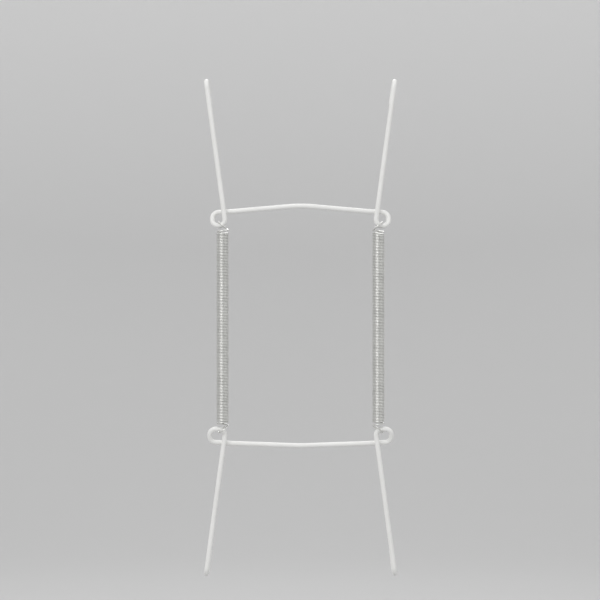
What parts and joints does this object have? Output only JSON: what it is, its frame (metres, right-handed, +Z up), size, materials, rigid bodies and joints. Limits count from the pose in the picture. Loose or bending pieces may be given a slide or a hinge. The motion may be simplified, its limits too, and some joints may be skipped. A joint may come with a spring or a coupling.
{
  "type": "plate hanger",
  "caption": "Wall hanger for a plate: bent white wire frames with rim hooks, drawn together by close-wound extension springs linked through their eyes.",
  "frame": {"origin": "under the middle of the upper crossbar, where the nail bears", "axes": "+X across the hanger, +Y from the wall towards the plate, the way the hooks curl, +Z up"},
  "size_m": [0.0762, 0.0122, 0.1961],
  "materials": {
    "coated_wire": "smooth white plastic coating with a satin sheen",
    "spring_steel": "bright drawn spring wire"
  },
  "bodies": {
    "upper_frame": {"upper_wire": "coated_wire"},
    "spring_tops": {"left_spring": "spring_steel"},
    "spring_feet": {"right_spring": "spring_steel"},
    "lower_frame": {"lower_wire": "coated_wire"}
  },
  "joints": [
    {"name": "upper_swivel", "type": "hinge", "parent": "upper_frame", "child": "spring_tops", "pos_m": [0, -0.00205, -0.00692], "axis": [1, 0, 0], "range_deg": [-55, 55]},
    {"name": "spring_stretch", "type": "slide", "parent": "spring_tops", "child": "spring_feet", "axis": [0, 0, -1], "range_m": [0, 0.16], "stiffness_N_per_m": 254, "springref_m": -0.015, "deforming": ["left_spring", "right_spring"]},
    {"name": "lower_swivel", "type": "hinge", "parent": "spring_feet", "child": "lower_frame", "pos_m": [0, -0.00205, -0.08694], "axis": [1, 0, 0], "range_deg": [-40, 40]}
  ]
}
